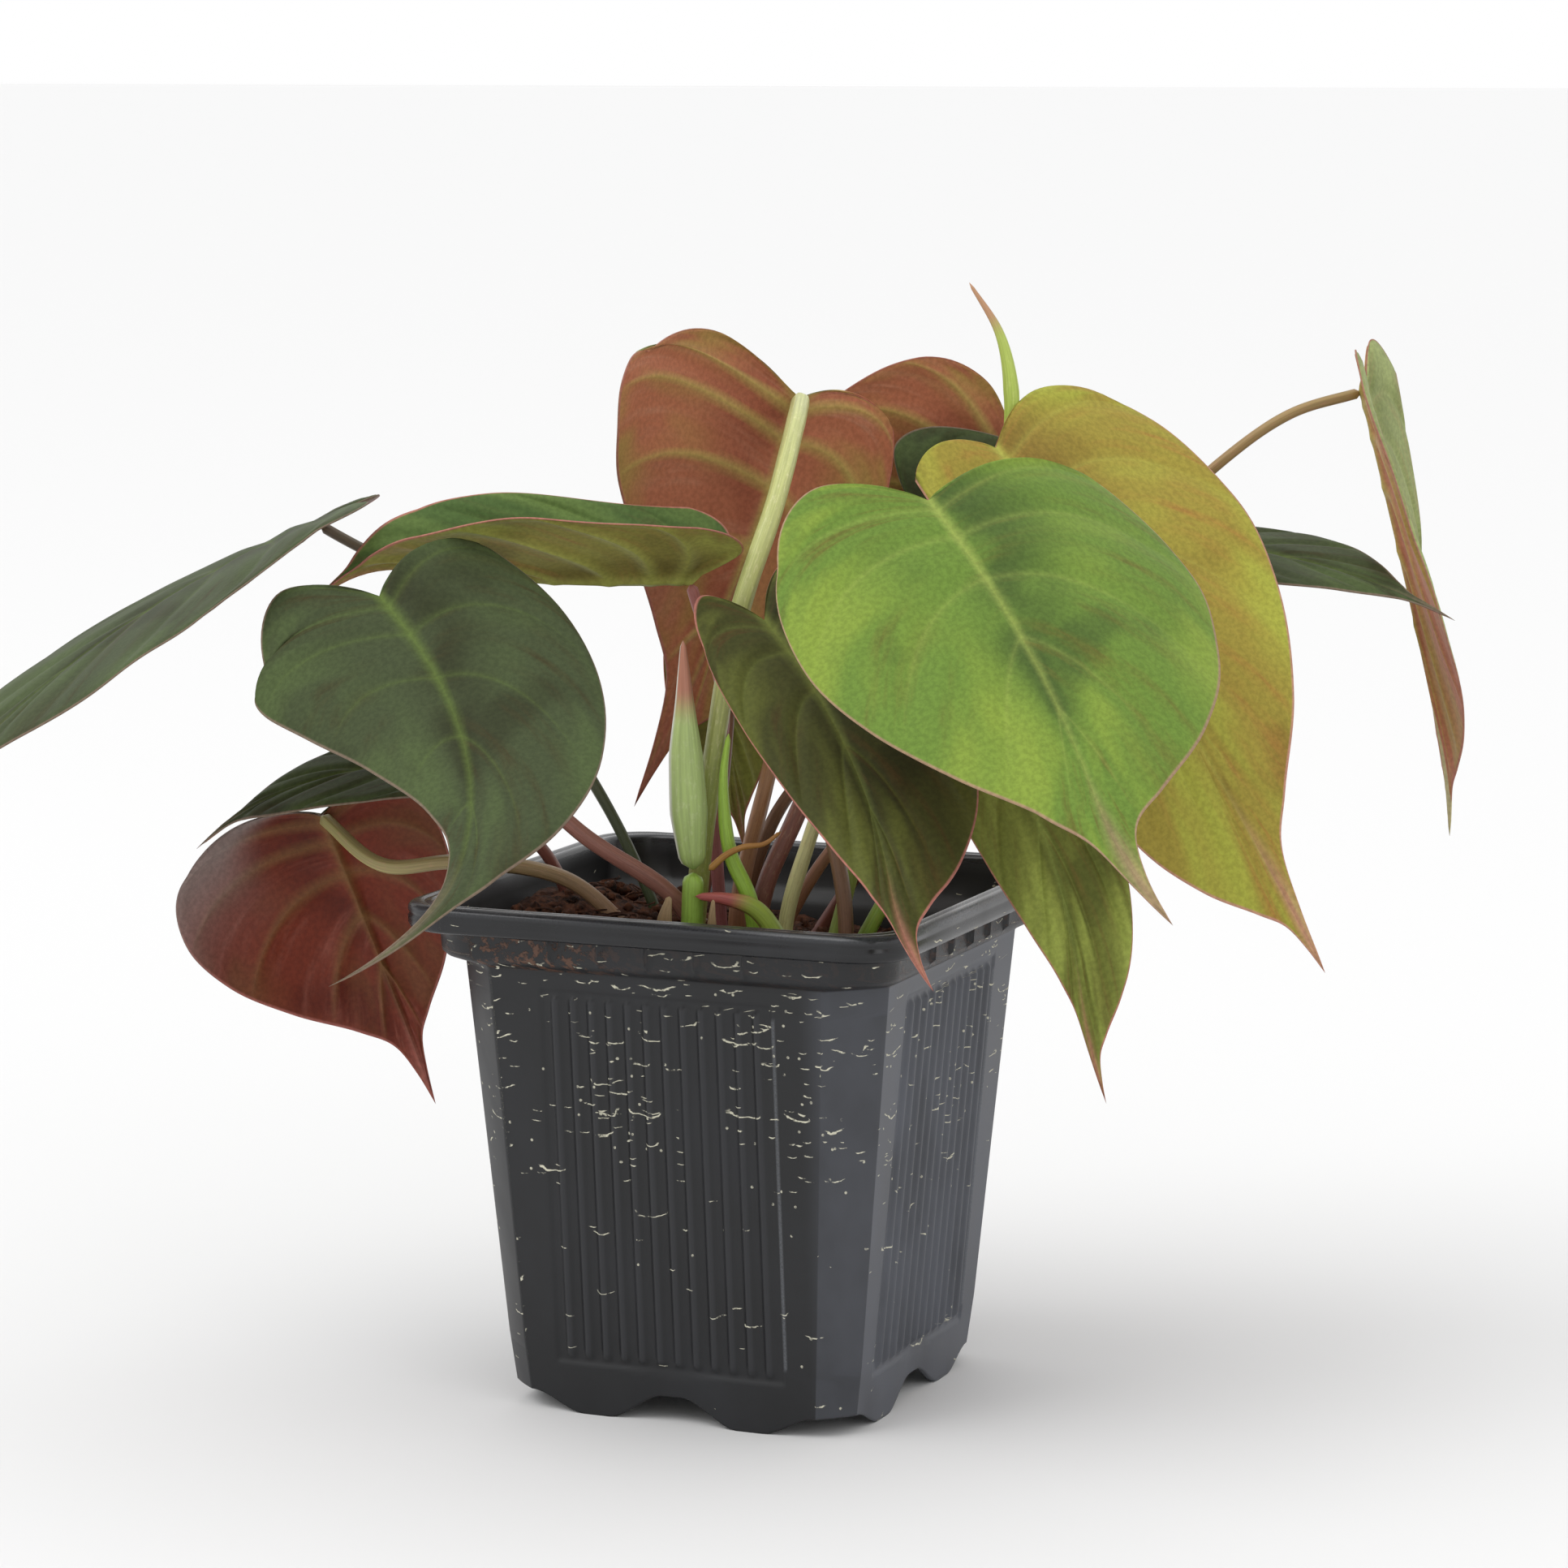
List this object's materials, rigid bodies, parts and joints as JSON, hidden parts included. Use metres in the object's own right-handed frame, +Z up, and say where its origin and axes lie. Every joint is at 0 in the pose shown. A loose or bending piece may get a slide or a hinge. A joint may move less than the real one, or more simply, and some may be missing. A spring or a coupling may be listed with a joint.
{
  "type": "potted philodendron",
  "caption": "Heart-leaved philodendron with velvety green and copper leaves, growing in a small square black nursery pot.",
  "frame": {"origin": "on the surface the pot stands on, under the middle of the whole plant's box", "axes": "+Z up; the pot's sides lie along X and Y, and its front is towards -Y"},
  "size_m": [0.2306, 0.2192, 0.1888],
  "materials": {
    "compost": "matte",
    "dry_sheath": "matte",
    "leaf_brick": "matte",
    "leaf_bright": "matte",
    "leaf_copper": "matte",
    "leaf_dark": "matte",
    "leaf_lime": "matte",
    "leaf_moss": "matte",
    "leaf_olive": "matte",
    "new_growth": "satin",
    "petiole_brown": "satin",
    "pot_plastic": "satin",
    "root_bark": "satin",
    "stem_green": "satin"
  },
  "bodies": {
    "root": {"pot": "pot_plastic", "compost": "compost", "leaf_front": "leaf_bright", "leaf_right_large": "leaf_lime", "leaf_front_low": "leaf_olive", "leaf_right_hanging": "leaf_moss", "leaf_top": "leaf_copper", "leaf_top_back": "leaf_copper", "leaf_folded_left": "leaf_moss", "leaf_left_heart": "leaf_dark", "leaf_far_left": "leaf_dark", "leaf_low_left": "leaf_dark", "leaf_left_hanging": "leaf_brick", "leaf_far_right": "leaf_copper", "leaf_right_back": "leaf_dark", "leaf_back": "leaf_dark", "leaf_back_low": "leaf_olive", "petiole_front": "stem_green", "petiole_right_large": "petiole_brown", "petiole_front_low": "petiole_brown", "petiole_right_hanging": "stem_green", "petiole_top": "stem_green", "petiole_top_back": "petiole_brown", "petiole_folded_left": "petiole_brown", "petiole_left_heart": "petiole_brown", "petiole_far_left": "petiole_brown", "petiole_low_left": "petiole_brown", "petiole_left_hanging": "petiole_brown", "petiole_far_right": "stem_green", "petiole_right_back": "petiole_brown", "petiole_back": "petiole_brown", "petiole_back_low": "petiole_brown", "sheathed_shoot_stem": "stem_green", "second_shoot": "stem_green", "young_shoot": "stem_green", "spike_stem": "stem_green", "sheath": "new_growth", "rolled_leaf": "new_growth", "dry_scrap_left": "dry_sheath", "dry_scrap_right": "dry_sheath", "aerial_root": "root_bark"}
  },
  "joints": []
}
